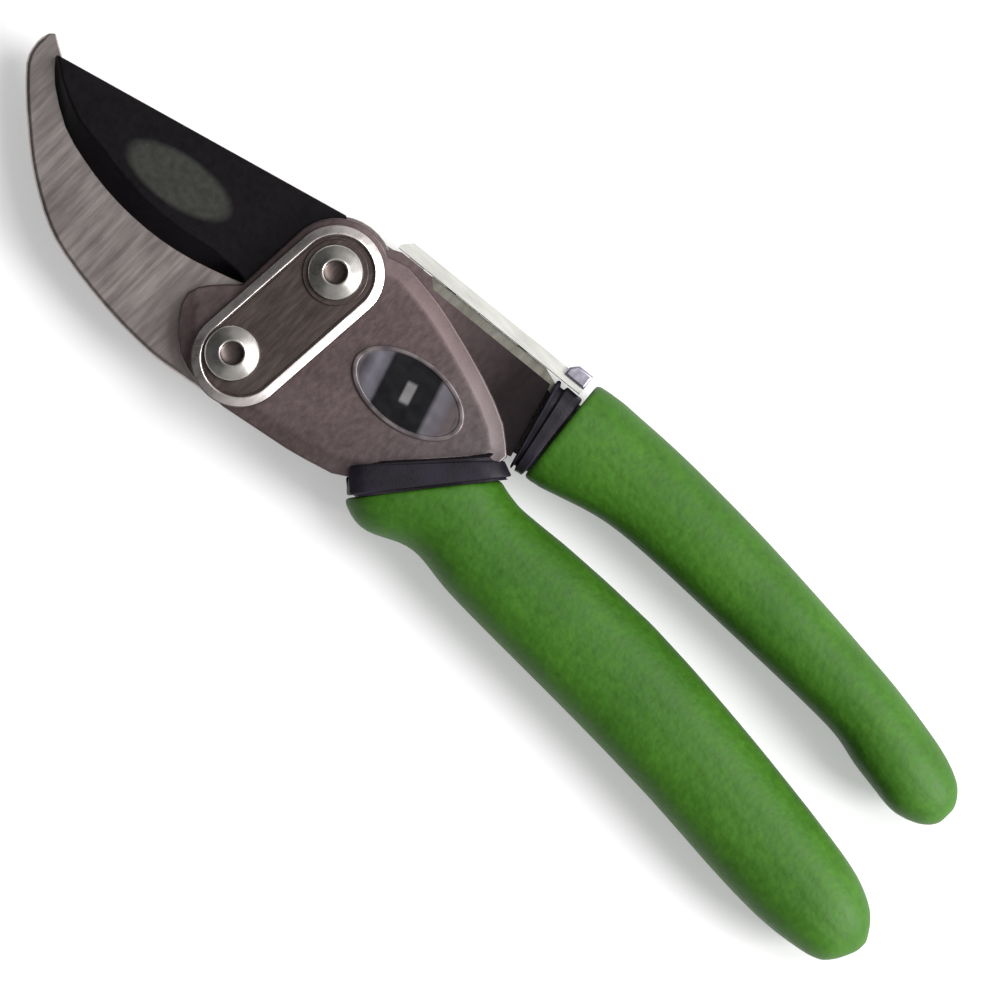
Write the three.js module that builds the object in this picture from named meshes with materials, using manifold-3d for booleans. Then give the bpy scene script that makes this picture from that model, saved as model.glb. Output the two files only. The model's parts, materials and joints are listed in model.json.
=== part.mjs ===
// Pruning shears, lying flat and closed. Millimetres, +Z up, +X towards the handles.
// The origin is on the pivot axis, at the resting plane under the pivot nut.
// The lower handle carries the cutting blade. The upper handle carries the counter blade.
import * as THREE from 'three';
import { mergeVertices } from 'three/addons/utils/BufferGeometryUtils.js';
import Module from 'manifold-3d';

const wasm = await Module();
wasm.setup();

// Overall sizes.
const REACH = 63.6; // pivot axis to the counter blade's tip
const HANDLE = 143.6; // pivot axis to the end of the longer grip
const SPAN = 31.9; // pivot axis to the lowest edge of the counter blade
const OPEN = THREE.MathUtils.degToRad(30); // how far the handles open

// Thicknesses, from the resting plane up.
const NUT_H = 3.9;
const REAR_WASHER_T = 1.0;
const REAR_T = 2.0;
const HOOK_T = 3.5;
const BLADE_T = 2.8;
const FRONT_T = 1.8;
const STRAP_T = 2.2;
const FRONT_WASHER_T = 0.5;
const GRIP_T = 17.4;

// Clearances.
const RUN = 0.15; // between faces that slide on each other
const FIT = 0.05; // round a shank in its hole
const BED = 0.3; // where a soft or cut piece meets its neighbour

// Fasteners.
const BOLT_R = 3.6;
const HEAD_R = 4.7;
const HEAD_H = 2.3;
const DIMPLE_R = 1.5;
const BUSH_R = 5.0;
const REAR_WASHER_R = 7.5;
const FRONT_WASHER_R = 5.6;
const NUT_FLATS = 12;
const RIVET_R = 2.6;
const HOOK_RIVET_R = 2.2;
const STUD_R = 1.1;
const STUD_HEAD_R = 1.9;

// Head and strap.
const BOSS_R = 9.3; // front frame round the pivot
const HEAD_BACK_R = 9.8; // counter blade and rear frame round the pivot
const HEEL_R = 6.9; // cutting blade round the pivot
const STRAP_R = 8.3;
const STRAP_RIM_W = 1.7; // the raised border round the strap
const STRAP_RIM_H = 0.45;
const STRAP_TOP = [0.2, 0];
const STRAP_FOOT = [-1.2, -0.677 * SPAN];
const RIVET_AT = [-2.7, -0.687 * SPAN];
const HOOK_RIVETS = [[11, 3.5], [8.5, -8.5]];
const HEEL_AT = [0.024 * REACH, -0.915 * SPAN]; // rear corner of the counter blade, which meets the stop

// Flanges and latch. The latch line stands off the pivot and leans with the upper flange.
const FLANGE_T = 1.7;
const FLANGE_LINE = 9.05;
const LEAN = THREE.MathUtils.degToRad(6);
const FLANGE_START = 13;
const FLANGE_TOP_DROP = 0.45; // flange top under the front frame's back
const WING_T = 0.8; // the front frame's lowered wing, which covers the spring
const WING_GAP = 0.6; // from the wing to the upper collar, which swings past it
const LATCH_T = 2.25;
const LATCH_TRAVEL = 5;
const TOOTH_AT = 8; // front of the latch tooth, unlocked
const TOOTH_L = 3;
const TOOTH_REACH = 6.9; // pivot axis to the tooth's inner face
const CATCH_L = 1.6; // the blade's own tooth that the latch tooth drops behind
const CATCH_TOP = 8.3;
const LATCH_NOSE = 5.5;
const TAB_L = 4.2;
const TAB_H = 2.7;

const GRIND = 3.6; // width of the ground bevel behind the cutting edge

const LATCH_IN = FLANGE_LINE + FLANGE_T / 2 + RUN;
const LATCH_OUT = LATCH_IN + LATCH_T;
const TAIL_T = 0.95; // the thin end of the bar, under the thumb tab

// Spring.
const SPRING_AT = 0.153 * HANDLE;
const COIL_TURNS = 10;
const WIRE_R = 0.5;

// Badge.
const BADGE_AT = [0.160 * HANDLE, -0.179 * SPAN];
const BADGE_A = 10.8;
const BADGE_B = 6.3;
const BADGE_T = 0.6;
const BADGE_TILT = THREE.MathUtils.degToRad(9);

// Heights of the stack.
const Z_WASHER = NUT_H;
const Z_REAR = Z_WASHER + REAR_WASHER_T + RUN;
const Z_HOOK = Z_REAR + REAR_T;
const Z_HOOK_TOP = Z_HOOK + HOOK_T;
const Z_BLADE = Z_HOOK_TOP + RUN;
const Z_FRONT = Z_BLADE + BLADE_T;
const Z_STRAP = Z_FRONT + FRONT_T;
const Z_STRAP_TOP = Z_STRAP + STRAP_T;
const Z_HEAD = Z_STRAP_TOP + FRONT_WASHER_T;
const Z_GRIP = GRIP_T / 2;

// Outlines: x as a part of REACH or HANDLE, y as a part of SPAN. The counter blade's root is in mm,
// because it goes round the rivets.
const HOOK_BACK = [
  [-0.991, -0.172], [-1.000, -0.215], [-0.998, -0.290], [-0.981, -0.372], [-0.925, -0.489],
  [-0.865, -0.596], [-0.786, -0.724], [-0.708, -0.824], [-0.629, -0.903], [-0.550, -0.950],
  [-0.432, -0.984], [-0.314, -1.000], [-0.197, -0.997], [-0.118, -0.972], [-0.039, -0.944],
];
const HOOK_ROOT = [
  [0.07 * REACH, -0.70 * SPAN], [0.14 * REACH, -0.44 * SPAN], [12.5, -11], [15, -3], [15.3, 4], [12, 8],
];
const HOOK_EDGE = [
  [-0.146, -0.110], [-0.220, -0.260], [-0.314, -0.370], [-0.432, -0.436], [-0.550, -0.451],
  [-0.668, -0.420], [-0.786, -0.345], [-0.896, -0.248], [-0.981, -0.154],
];
const BLADE_EDGE = [
  [-0.936, -0.241], [-0.885, -0.345], [-0.786, -0.464], [-0.689, -0.517], [-0.590, -0.545],
  [-0.492, -0.549], [-0.393, -0.530], [-0.296, -0.486], [-0.197, -0.417], [-0.154, -0.382],
];
const SPINE_END = [-0.090, 0.254];
const BLADE_ROOT = [[0.055, -0.86], [0.09, -0.5]];
const LOBE = [
  [-0.154, -0.392], [-0.211, -0.508], [-0.242, -0.627], [-0.211, -0.759], [-0.142, -0.884],
  [-0.055, -0.928], [0.039, -0.922],
];
const CHEEK_LOW = [
  [0.017, -0.922], [0.052, -0.890], [0.104, -0.843], [0.139, -0.799], [0.167, -0.752],
];
const CHEEK_TOP = [
  [0.295, -0.047], [0.265, 0.063], [0.209, 0.163], [0.139, 0.248], [0.097, 0.282], [0.056, 0.298],
];
const REAR_LOW = [
  [-0.014, -0.362], [0.040, -0.510], [0.111, -0.550], [0.174, -0.470], [0.230, -0.300],
  [0.268, -0.060], [0.310, 0.010],
];
// Grips: x as a part of HANDLE, upper and lower edge as parts of SPAN, thickness as a part of GRIP_T.
const LOWER_GRIP = [
  [0.125, -0.070, -0.674, 0.96], [0.167, -0.070, -0.708, 0.98], [0.195, -0.070, -0.821, 1],
  [0.226, -0.072, -0.871, 1], [0.251, -0.078, -0.837, 1], [0.279, -0.100, -0.765, 1],
  [0.306, -0.150, -0.746, 1], [0.348, -0.188, -0.774, 1], [0.418, -0.157, -0.781, 1],
  [0.557, -0.129, -0.781, 1], [0.696, -0.166, -0.793, 1], [0.801, -0.213, -0.824, 1],
  [0.884, -0.260, -0.834, 0.98], [0.940, -0.307, -0.806, 0.90], [0.977, -0.386, -0.759, 0.66],
  [0.994, -0.476, -0.646, 0.36], [1.000, -0.527, -0.571, 0.10],
];
const UPPER_GRIP = [
  [0.265, 0.520, -0.082, 1], [0.310, 0.567, -0.069, 1], [0.348, 0.596, -0.038, 1],
  [0.383, 0.605, 0.016, 1], [0.432, 0.618, 0.082, 1], [0.501, 0.621, 0.110, 1],
  [0.592, 0.614, 0.125, 1], [0.696, 0.589, 0.141, 1], [0.766, 0.567, 0.147, 1],
  [0.808, 0.552, 0.141, 1], [0.836, 0.536, 0.107, 1], [0.877, 0.508, 0.085, 0.97],
  [0.912, 0.476, 0.069, 0.85], [0.943, 0.420, 0.116, 0.64], [0.958, 0.345, 0.176, 0.36],
  [0.962, 0.295, 0.229, 0.10],
];
const LOWER_COLLAR = [
  [0.125, -0.045, -0.655, 0.99], [0.167, -0.045, -0.690, 0.99], [0.195, -0.045, -0.800, 0.99],
  [0.226, -0.045, -0.850, 0.99], [0.251, -0.045, -0.820, 0.99], [0.279, -0.050, -0.745, 0.99],
  [0.306, -0.085, -0.720, 0.99], [0.348, -0.160, -0.720, 0.99],
];
// The upper collar's lower edge and thickness. Its upper edge keeps clear of the latch bar.
const UPPER_COLLAR_LOW = [
  [0.265, -0.088, 0.90], [0.290, -0.085, 0.90], [0.315, -0.068, 0.90], [0.340, -0.040, 0.90],
];
// The slanted mouths of the collars and grips, as two points each.
const LINE_A = [[0.2820, -0.072], [0.1671, -0.690]];
const LINE_B = [[0.3084, -0.157], [0.1900, -0.831]];
const LINE_C = [[0.2716, 0.445], [0.3060, -0.088]];
const LINE_D = [[0.3100, 0.564], [0.3245, -0.047]];
// Flanges inside the grips.
const LOWER_FLANGE_IN = [[0.160, -0.742], [0.195, -0.640], [0.230, -0.600], [0.864, -0.630]];
const UPPER_FLANGE_IN = [[0.290, 0.364], [0.350, 0.440], [0.864, 0.452]];
const LOWER_TANG = [[0.864, -0.420], [0.330, -0.345], [0.288, -0.310], [0.2935, -0.115]];
const UPPER_TANG = [[0.348, 0.095], [0.410, 0.160], [0.864, 0.215]];

const onBlade = ([x, y]) => [x * REACH, y * SPAN];
const onHandle = ([x, y]) => [x * HANDLE, y * SPAN];
const turn = ([x, y], a) => [x * Math.cos(a) - y * Math.sin(a), x * Math.sin(a) + y * Math.cos(a)];
const lean = (point) => turn(point, LEAN);

// ---------- shape helpers ----------

// A geometry as a solid.
function solid(geometry) {
  geometry.deleteAttribute('normal');
  geometry.deleteAttribute('uv');
  const g = mergeVertices(geometry, 1e-4);
  return new wasm.Manifold(new wasm.Mesh({
    numProp: 3,
    vertProperties: new Float32Array(g.attributes.position.array),
    triVerts: new Uint32Array(g.index.array),
  }));
}

// Points along a smooth curve through the given ones.
function smooth(points, perSpan = 2) {
  const curve = new THREE.SplineCurve(points.map(([x, y]) => new THREE.Vector2(x, y)));
  return curve.getPoints((points.length - 1) * perSpan).map((p) => [p.x, p.y]);
}

// Points on an arc, from one angle in degrees to another.
function arc([cx, cy], r, from, to, steps = 8) {
  const points = [];
  for (let i = 0; i <= steps; i += 1) {
    const a = THREE.MathUtils.degToRad(from + ((to - from) * i) / steps);
    points.push([cx + r * Math.cos(a), cy + r * Math.sin(a)]);
  }
  return points;
}

// A flat piece of the given outline between two heights, its rims rounded by bevel.
function plate(points, z0, z1, bevel = 0, bevelSegments = 1) {
  const shape = new THREE.Shape(points.map(([x, y]) => new THREE.Vector2(x, y)));
  const g = new THREE.ExtrudeGeometry(shape, {
    depth: z1 - z0 - 2 * bevel,
    bevelEnabled: bevel > 0,
    bevelThickness: bevel,
    bevelSize: bevel,
    bevelOffset: -bevel,
    bevelSegments,
    curveSegments: 1,
  });
  g.translate(0, 0, z0 + bevel);
  return solid(g);
}

// An upright round bar.
function rod([x, y], r, z0, z1, sides = 32) {
  const g = new THREE.CylinderGeometry(r, r, z1 - z0, sides);
  g.rotateX(Math.PI / 2);
  g.translate(x, y, (z0 + z1) / 2);
  return solid(g);
}

// A turned piece about an upright axis: profile points are [radius, height].
function turned([x, y], profile, sides = 32) {
  const g = new THREE.LatheGeometry(profile.map(([r, z]) => new THREE.Vector2(r, z)), sides);
  g.rotateX(Math.PI / 2);
  g.translate(x, y, 0);
  return solid(g);
}

// A line of points moved to its left by a distance, or to its right by a negative one.
function shifted(points, distance) {
  return points.map(([x, y], i) => {
    const before = points[Math.max(i - 1, 0)];
    const after = points[Math.min(i + 1, points.length - 1)];
    const along = new THREE.Vector2(after[0] - before[0], after[1] - before[1]).normalize();
    return [x - along.y * distance, y + along.x * distance];
  });
}

// A line of points run on along X past its last one.
function runOn(points, by) {
  const [x, y] = points[points.length - 1];
  return [...points.slice(0, -1), [x + by, y]];
}

// The outline of a strip of even width along a line of points.
function ribbon(points, width) {
  return shifted(points, -width / 2).concat(shifted(points, width / 2).reverse());
}

// A tall slab beside the line p to q, from one offset to another on its left.
function beside([p, q], from, to) {
  const a = new THREE.Vector2(...p);
  const b = new THREE.Vector2(...q);
  const along = b.clone().sub(a).normalize();
  const across = new THREE.Vector2(-along.y, along.x);
  const far = HANDLE + REACH;
  const corner = (s, t) => {
    const c = a.clone().addScaledVector(along, s).addScaledVector(across, t);
    return [c.x, c.y];
  };
  return plate([corner(-far, from), corner(far, from), corner(far, to), corner(-far, to)], -9, 60);
}

// A rounded bar along X whose plan and thickness follow the stations. Squareness 1 is an ellipse.
function loft(stations, squareness = 0.8, around = 20, perSpan = 2) {
  const edges = new THREE.CatmullRomCurve3(
    stations.map(([x, top, low]) => new THREE.Vector3(x * HANDLE, top * SPAN, low * SPAN)),
    false, 'catmullrom', 0.5);
  const depth = new THREE.SplineCurve(
    stations.map(([x, , , t]) => new THREE.Vector2(x * HANDLE, (t * GRIP_T) / 2)));
  const rows = (stations.length - 1) * perSpan;
  const g = new THREE.CylinderGeometry(1, 1, 1, around, rows);
  const at = g.attributes.position;
  for (let i = 0; i < at.count; i += 1) {
    const t = Math.min(1, Math.max(0, at.getY(i) + 0.5));
    const e = edges.getPoint(t);
    const ring = Math.hypot(at.getX(i), at.getZ(i)) > 0.5 ? 1 : 0;
    const c = at.getZ(i);
    const s = at.getX(i);
    const y = Math.sign(c) * Math.abs(c) ** squareness * ring;
    const z = Math.sign(s) * Math.abs(s) ** squareness * ring;
    at.setXYZ(i, e.x, (e.y + e.z) / 2 + (y * (e.y - e.z)) / 2, Z_GRIP + z * depth.getPoint(t).y);
  }
  return solid(g);
}

// A domed head with a dimple, and the shank below it down to a height.
function headed(at, headR, headH, zHead, shankR, zFoot) {
  const profile = [[0, zFoot], [shankR, zFoot], [shankR, zHead], [headR, zHead]];
  profile.push([headR, zHead + headH * 0.25]);
  for (let i = 1; i <= 4; i += 1) {
    const a = (i / 5) * (Math.PI / 2);
    profile.push([headR * Math.cos(a), zHead + headH * (0.25 + 0.75 * Math.sin(a))]);
  }
  profile.push([DIMPLE_R, zHead + headH], [DIMPLE_R * 0.5, zHead + headH - 0.6]);
  profile.push([0, zHead + headH - 0.7]);
  return turned(at, profile);
}

// ---------- blade lever: lower handle ----------

const stopRadius = Math.hypot(...HEEL_AT);
const stopAngle = Math.atan2(HEEL_AT[1], HEEL_AT[0]) + OPEN;
const STOP_X = stopRadius * Math.cos(stopAngle) + BED * 2;

// Centre line of the lower flange, from the opening stop into the grip.
function lowerFlangeLine() {
  const edge = CHEEK_LOW.map(onHandle);
  const start = [];
  for (let x = STOP_X; x < 0.155 * HANDLE; x += 2) {
    const i = edge.findIndex((p) => p[0] >= x);
    const [a, b] = [edge[i - 1], edge[i]];
    const y = a[1] + ((b[1] - a[1]) * (x - a[0])) / (b[0] - a[0]);
    start.push([x, y + FLANGE_T / 2]);
  }
  return start.concat(LOWER_FLANGE_IN.map(onHandle));
}

function frontPlan() {
  const boss = arc([0, 0], BOSS_R, 62, 180, 12);
  const low = CHEEK_LOW.map(onHandle);
  const inGrip = shifted(lowerFlangeLine(), -FLANGE_T / 2).slice(1 - LOWER_FLANGE_IN.length);
  return [
    ...smooth(LOBE.map(onBlade)),
    ...low.slice(1),
    ...inGrip,
    ...LOWER_TANG.map(onHandle),
    ...smooth(CHEEK_TOP.map(onHandle)),
    ...boss,
  ];
}

// From the cheek to the rear frame's flange, and to the latch bar in front of that.
function frontWing() {
  const inner = FLANGE_LINE - FLANGE_T / 2;
  const outer = LATCH_IN - 2 * RUN;
  const edge = [
    [0.31 * HANDLE, inner], [FLANGE_START + 1.5, inner], [FLANGE_START, outer],
    [LATCH_NOSE + 1, outer], [LATCH_NOSE - 0.5, outer - 0.6],
  ];
  const plan = [onHandle([0.285, -0.06]), onHandle([0.303, -0.02]), ...edge.map(lean), [0, BOSS_R / 2]];
  return plate(plan, Z_FRONT, Z_FRONT + WING_T)
    .subtract(beside(LINE_C.map(onHandle), -WING_GAP, HANDLE));
}

function frontFrame() {
  const flange = plate(ribbon(lowerFlangeLine(), FLANGE_T), Z_REAR, Z_STRAP);
  return plate(frontPlan(), Z_FRONT, Z_STRAP)
    .add(frontWing())
    .add(flange)
    .subtract(rod([0, 0], BOLT_R + FIT, 0, 40))
    .subtract(rod(RIVET_AT, RIVET_R + FIT, 0, 40));
}

// The front frame grown a little, to cut its place in what surrounds it.
function frontPocket() {
  const line = runOn(lowerFlangeLine(), BED);
  const flange = plate(ribbon(line, FLANGE_T + 2 * BED), Z_REAR - BED, Z_STRAP + BED);
  const tang = [
    ...shifted(line, -FLANGE_T / 2 - BED),
    ...LOWER_TANG.map(onHandle).map(([x, y]) => [x + BED, y + BED]),
    onHandle([0.297, -0.035]), onHandle([0.265, 0.075]), [0, 0],
  ];
  return plate(tang, Z_FRONT - BED, Z_STRAP + BED).add(flange);
}

function bladePlan() {
  const spine = onBlade(SPINE_END);
  const catchRight = TOOTH_AT - LATCH_TRAVEL - RUN;
  const catchLeft = catchRight - CATCH_L;
  const root = (s) => Math.sqrt(HEEL_R ** 2 - s ** 2) - RUN;
  return [
    ...smooth(BLADE_EDGE.map(onBlade)),
    ...smooth(LOBE.slice(1, -1).map(onBlade)).map(([x, y]) => [x + 0.9, y + 0.9 * (y < -0.6 * SPAN)]),
    ...BLADE_ROOT.map(onBlade),
    ...arc([0, 0], HEEL_R, -35, 65, 8),
    lean([catchRight, root(catchRight)]),
    lean([catchRight, CATCH_TOP]),
    lean([catchLeft, CATCH_TOP]),
    lean([catchLeft, root(catchLeft)]),
    ...arc([0, 0], HEEL_R, 92, 112, 3),
    spine,
  ];
}

// The blade is ground from its front face down to the cutting edge on its back face.
function cuttingBlade() {
  const edge = smooth(BLADE_EDGE.map(onBlade));
  const share = (i) => Math.min(1, (i + 1) / 7, (edge.length - 1 - i) / 4);
  const shape = new THREE.Shape(bladePlan().map(([x, y]) => new THREE.Vector2(x, y)));
  const g = new THREE.ExtrudeGeometry(shape, { depth: BLADE_T, bevelEnabled: false, curveSegments: 1 });
  const at = g.attributes.position;
  for (let i = 0; i < at.count; i += 1) {
    const onEdge = edge.findIndex((p) => Math.hypot(p[0] - at.getX(i), p[1] - at.getY(i)) < 1e-3);
    if (onEdge >= 0 && at.getZ(i) > BLADE_T / 2) {
      at.setX(i, at.getX(i) + GRIND * 0.3 * share(onEdge));
      at.setY(i, at.getY(i) + GRIND * share(onEdge));
    }
  }
  return solid(g.translate(0, 0, Z_BLADE))
    .subtract(rod([0, 0], BOLT_R + FIT, 0, 40))
    .subtract(rod(RIVET_AT, RIVET_R + FIT, 0, 40));
}

function frontStrap() {
  const axis = Math.atan2(STRAP_FOOT[1] - STRAP_TOP[1], STRAP_FOOT[0] - STRAP_TOP[0]);
  const deg = THREE.MathUtils.radToDeg(axis);
  const plan = (r) => [
    ...arc(STRAP_FOOT, r, deg - 90, deg + 90, 14),
    ...arc(STRAP_TOP, r, deg + 90, deg + 270, 14),
  ];
  return plate(plan(STRAP_R), Z_STRAP, Z_STRAP_TOP + STRAP_RIM_H, 0.7, 2)
    .subtract(plate(plan(STRAP_R - STRAP_RIM_W), Z_STRAP_TOP, Z_STRAP_TOP + 5))
    .subtract(rod([0, 0], BOLT_R + FIT, 0, 40))
    .subtract(rod(RIVET_AT, RIVET_R + FIT, 0, 40));
}

function washer(r, z0, z1) {
  return rod([0, 0], r, z0, z1).subtract(rod([0, 0], BOLT_R + FIT, 0, 40));
}

function pivotNut() {
  const g = new THREE.CylinderGeometry(NUT_FLATS / Math.sqrt(3), NUT_FLATS / Math.sqrt(3), NUT_H, 6);
  g.rotateX(Math.PI / 2);
  g.translate(0, 0, NUT_H / 2);
  return solid(g).subtract(rod([0, 0], BOLT_R + FIT, 1.2, 40));
}

function lowerCollar() {
  return loft(LOWER_COLLAR, 0.35)
    .intersect(beside(LINE_A.map(onHandle), 0, HANDLE))
    .subtract(beside(LINE_B.map(onHandle), -BED, HANDLE))
    .subtract(frontPocket());
}

function lowerGrip() {
  return loft(LOWER_GRIP).intersect(beside(LINE_B.map(onHandle), 0, 2 * HANDLE)).subtract(frontPocket());
}

function badge() {
  const oval = (grow) => arc([0, 0], 1, 0, 345, 23).map(([x, y]) => {
    const [u, v] = turn([x * (BADGE_A + grow), y * (BADGE_B + grow)], BADGE_TILT);
    return [BADGE_AT[0] + u, BADGE_AT[1] + v];
  });
  return plate(oval(0), Z_STRAP, Z_STRAP + BADGE_T, 0.25)
    .subtract(plate(oval(-1.1), Z_STRAP + BADGE_T - 0.2, Z_STRAP + 5));
}

// ---------- hook lever: upper handle ----------

function hookPlan() {
  return [
    ...smooth(HOOK_BACK.map(onBlade)),
    HEEL_AT,
    ...HOOK_ROOT,
    ...arc([0, 0], HEAD_BACK_R, 68, 168, 10),
    ...smooth(HOOK_EDGE.map(onBlade)),
  ];
}

function counterBlade() {
  return HOOK_RIVETS.reduce(
    (body, at) => body.subtract(rod(at, HOOK_RIVET_R + FIT, 0, 40, 24)),
    plate(hookPlan(), Z_HOOK, Z_HOOK_TOP).subtract(rod([0, 0], BUSH_R + FIT, 0, 40)));
}

// Centre line of the upper flange: straight beside the latch, then into the grip.
function upperFlangeLine() {
  const straight = [FLANGE_START, 20, 0.262 * HANDLE].map((s) => lean([s, FLANGE_LINE]));
  return straight.concat(UPPER_FLANGE_IN.map(onHandle));
}

function rearPlan() {
  const top = shifted(upperFlangeLine(), FLANGE_T / 2).reverse();
  return [
    ...arc([0, 0], HEAD_BACK_R, 75, 225, 14),
    ...smooth(REAR_LOW.map(onHandle)),
    ...UPPER_TANG.map(onHandle),
    ...top,
  ];
}

function upperFlange(line, grow) {
  const top = Z_FRONT - FLANGE_TOP_DROP;
  return plate(ribbon(line, FLANGE_T + 2 * grow), Z_REAR - grow, top + grow);
}

const LATCH_STUDS = [17, 0.226 * HANDLE];
const Z_LATCH = (Z_REAR + Z_FRONT) / 2;

// A round bar square to the latch line, from one distance off the pivot to another.
function crossRod(s, r, t0, t1, sides = 20) {
  const g = new THREE.CylinderGeometry(r, r, t1 - t0, sides);
  g.translate(s, (t0 + t1) / 2, Z_LATCH);
  g.rotateZ(LEAN);
  return solid(g);
}

function rearFrame() {
  let body = plate(rearPlan(), Z_REAR, Z_HOOK)
    .add(upperFlange(upperFlangeLine(), 0))
    .subtract(rod([0, 0], BUSH_R + FIT, 0, 40));
  for (const at of HOOK_RIVETS) {
    body = body.subtract(rod(at, HOOK_RIVET_R + FIT, 0, 40, 24));
  }
  for (const s of LATCH_STUDS) {
    body = body.subtract(crossRod(s, STUD_R + FIT, 0, 30));
  }
  return body;
}

function rearPocket() {
  const line = runOn(upperFlangeLine(), BED);
  const tang = [
    [0, 0], onHandle([0.300, -0.040]),
    ...runOn(UPPER_TANG.map(onHandle), BED).map(([x, y]) => [x, y - BED]),
    ...shifted(line, FLANGE_T / 2 + BED).reverse(),
  ];
  return plate(tang, Z_REAR - BED, Z_HOOK + BED).add(upperFlange(line, BED));
}

function upperCollar() {
  const top = (x) => (LATCH_IN - BED + x * HANDLE * Math.sin(LEAN)) / Math.cos(LEAN) / SPAN;
  return loft(UPPER_COLLAR_LOW.map(([x, low, t]) => [x, top(x), low, t]), 0.5)
    .intersect(beside(LINE_C.map(onHandle), 0, HANDLE))
    .subtract(beside(LINE_D.map(onHandle), -BED, HANDLE))
    .subtract(rearPocket());
}

function upperGrip() {
  return loft(UPPER_GRIP).intersect(beside(LINE_D.map(onHandle), 0, 2 * HANDLE)).subtract(rearPocket());
}

function hookRivet(at) {
  return turned(at, [
    [0, Z_HOOK_TOP], [HOOK_RIVET_R, Z_HOOK_TOP], [HOOK_RIVET_R, Z_REAR], [HOOK_RIVET_R * 1.7, Z_REAR],
    [HOOK_RIVET_R * 1.4, Z_REAR - 0.7], [HOOK_RIVET_R * 0.7, Z_REAR - 1.1], [0, Z_REAR - 1.2],
  ].reverse(), 24);
}

// ---------- spring and its seats ----------

const COIL_Z = (Z_HOOK + Z_FRONT) / 2;
const COIL_R = (Z_FRONT - Z_HOOK) / 2 - 2 * BED;
const LOW_SEAT_Y = -0.742 * SPAN + FLANGE_T / 2 + 2.6;
const TOP_SEAT_Y = lean([SPRING_AT, FLANGE_LINE])[1] - FLANGE_T / 2 - 2.4;

// What lies beyond the inner face of each flange, to trim the seats against it.
function beyondLowerFlange() {
  const line = lowerFlangeLine().slice(0, 2 - LOWER_FLANGE_IN.length);
  const slabs = line.slice(1).map((p, i) => beside([line[i], p], -60, FLANGE_T / 2 + FIT));
  return slabs.reduce((all, slab) => all.add(slab));
}

function beyondUpperFlange() {
  return beside([lean([0, FLANGE_LINE]), lean([50, FLANGE_LINE])], -FLANGE_T / 2 - FIT, 60);
}

// A seat: a disc with a peg inside the coil. Direction +1 points the peg up the tool.
function seat(y, direction, cutter) {
  const parts = [
    [COIL_R + 0.1, y - direction * 4, y],
    [COIL_R - 2 * WIRE_R - 0.45, y - direction, y + direction * 3.4],
  ].map(([r, a, b]) => {
    const g = new THREE.CylinderGeometry(r, r, Math.abs(b - a), 20);
    return solid(g.translate(SPRING_AT, (a + b) / 2, COIL_Z));
  });
  return parts[0].add(parts[1]).subtract(cutter);
}

class Helix extends THREE.Curve {
  getPoint(t, target = new THREE.Vector3()) {
    const y0 = LOW_SEAT_Y + WIRE_R + FIT;
    const y1 = TOP_SEAT_Y - WIRE_R - FIT;
    const a = t * COIL_TURNS * 2 * Math.PI;
    const r = COIL_R - WIRE_R;
    return target.set(SPRING_AT + r * Math.cos(a), y0 + (y1 - y0) * t, COIL_Z + r * Math.sin(a));
  }
}

function returnSpring() {
  const section = new THREE.Shape(arc([0, 0], WIRE_R, 0, 300, 5).map(([x, y]) => new THREE.Vector2(x, y)));
  return solid(new THREE.ExtrudeGeometry(section, {
    steps: COIL_TURNS * 12,
    extrudePath: new Helix(),
    bevelEnabled: false,
  }));
}

// ---------- latch ----------

const TAB_AT = 0.283 * HANDLE;
const LATCH_Z0 = Z_REAR + 0.6;
const LATCH_Z1 = Z_FRONT + 0.2;

function latchBar() {
  const plan = [
    [LATCH_NOSE, LATCH_IN], [TAB_AT + TAB_L, LATCH_IN], [TAB_AT + TAB_L, LATCH_IN + TAIL_T],
    [TAB_AT - FIT, LATCH_IN + TAIL_T], [TAB_AT - FIT, LATCH_OUT], [LATCH_NOSE + 1.6, LATCH_OUT],
    [LATCH_NOSE, LATCH_IN + 0.6],
  ];
  let body = plate(plan.map(lean), LATCH_Z0, LATCH_Z1);
  const tooth = [
    [TOOTH_AT, TOOTH_REACH], [TOOTH_AT + TOOTH_L, TOOTH_REACH], [TOOTH_AT + TOOTH_L, LATCH_IN + 0.5],
    [TOOTH_AT, LATCH_IN + 0.5],
  ];
  body = body.add(plate(tooth.map(lean), Z_BLADE + RUN, Z_FRONT - RUN * 1.5));
  for (const s of LATCH_STUDS) {
    const slot = (r, t0, t1) => {
      const near = crossRod(s, r, t0, t1);
      const far = crossRod(s + LATCH_TRAVEL, r, t0, t1);
      const g = new THREE.BoxGeometry(LATCH_TRAVEL, t1 - t0, 2 * r);
      g.translate(s + LATCH_TRAVEL / 2, (t0 + t1) / 2, Z_LATCH);
      g.rotateZ(LEAN);
      return near.add(far).add(solid(g));
    };
    body = body.subtract(slot(STUD_R + RUN, 0, 30)).subtract(slot(STUD_HEAD_R + RUN, LATCH_OUT - 1.1, 30));
  }
  return body;
}

function latchStud(s) {
  return crossRod(s, STUD_R, FLANGE_LINE - FLANGE_T / 2, LATCH_OUT - 0.2)
    .add(crossRod(s, STUD_HEAD_R, LATCH_OUT - 1.0, LATCH_OUT - 0.1));
}

function thumbTab() {
  const low = LATCH_IN + TAIL_T + FIT;
  const plan = [
    [TAB_AT, low], [TAB_AT + TAB_L, low], [TAB_AT + TAB_L, low + TAB_H],
    [TAB_AT + 1.2, low + TAB_H], [TAB_AT, low + TAB_H - 1.2],
  ];
  return plate(plan.map(lean), LATCH_Z0 - 0.6, LATCH_Z1 + 0.6, 0.3);
}

// ---------- assembly ----------

const group = new THREE.Group();
group.name = 'pruning_shears';

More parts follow.
